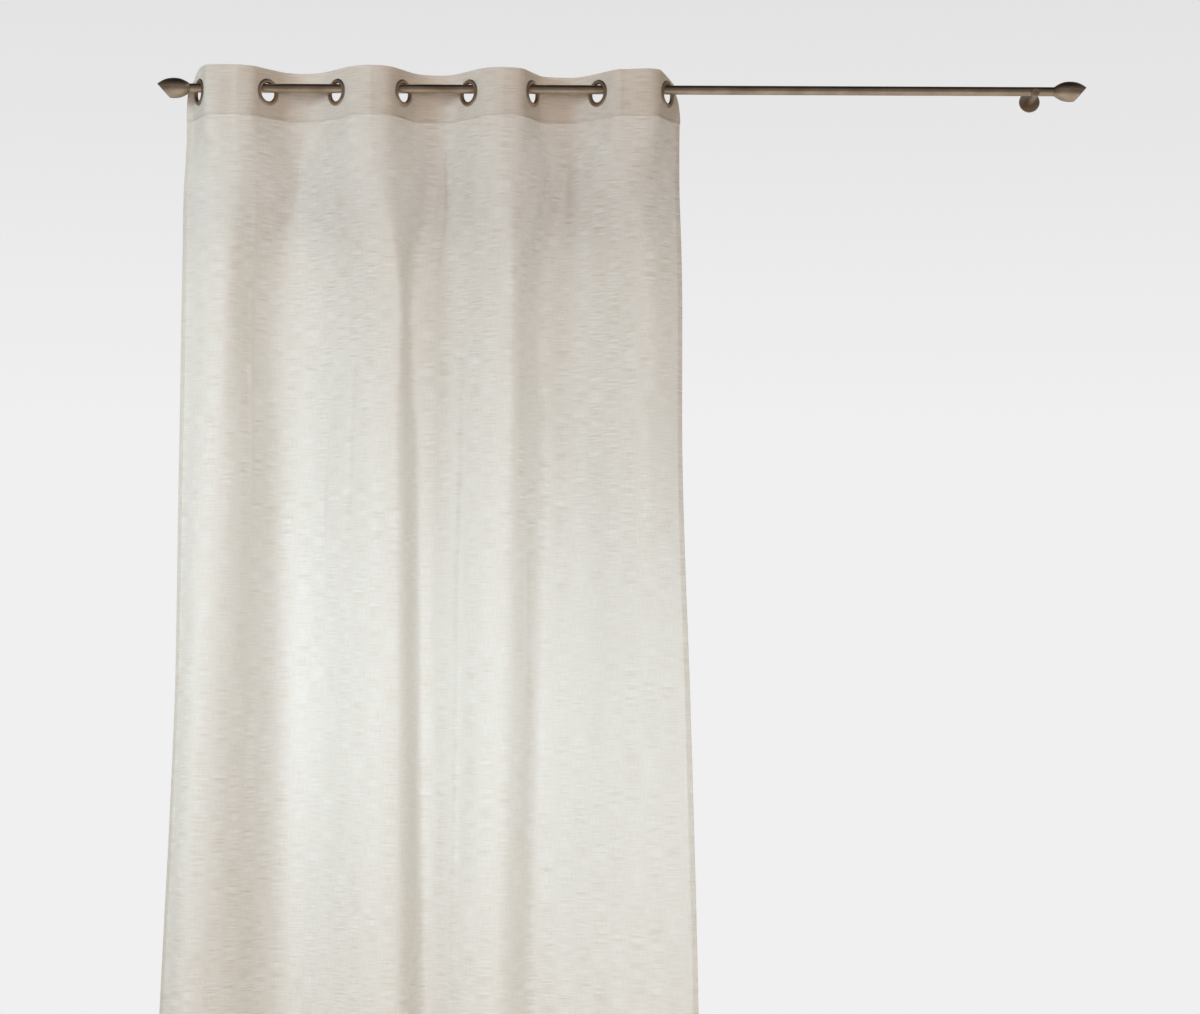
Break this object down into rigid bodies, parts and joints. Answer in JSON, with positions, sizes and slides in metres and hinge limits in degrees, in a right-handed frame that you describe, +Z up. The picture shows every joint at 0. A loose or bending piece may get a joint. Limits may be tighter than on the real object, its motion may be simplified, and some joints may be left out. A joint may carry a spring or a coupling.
{
  "type": "sheer voile curtain on a rod",
  "caption": "Sheer voile curtain with eyelets, drawn to the left on a round bronze-coloured rod with bud finials and wall brackets.",
  "frame": {"origin": "centre of the left wall plate's back face, on the wall", "axes": "+X along the rod to the right as seen from the room, +Y into the wall, +Z up"},
  "size_m": [2.06, 0.1555, 2.4053],
  "materials": {
    "voile": "sheer linen-look weave, matt",
    "doubled_voile": "two layers of the sheer weave over a stiffener, matt",
    "antique_bronze": "brushed antique bronze colour, satin",
    "eyelet_bronze": "antique bronze colour, satin"
  },
  "bodies": {
    "root": {"panel": "voile", "heading": "doubled_voile", "eyelet_1": "eyelet_bronze", "eyelet_2": "eyelet_bronze", "eyelet_3": "eyelet_bronze", "eyelet_4": "eyelet_bronze", "eyelet_5": "eyelet_bronze", "eyelet_6": "eyelet_bronze", "eyelet_7": "eyelet_bronze", "eyelet_8": "eyelet_bronze", "rod": "antique_bronze", "wall_plate_left": "antique_bronze", "arm_left": "antique_bronze", "grub_screw_left": "antique_bronze", "finial_left": "antique_bronze", "wall_plate_right": "antique_bronze", "arm_right": "antique_bronze", "grub_screw_right": "antique_bronze", "finial_right": "antique_bronze"}
  },
  "joints": []
}
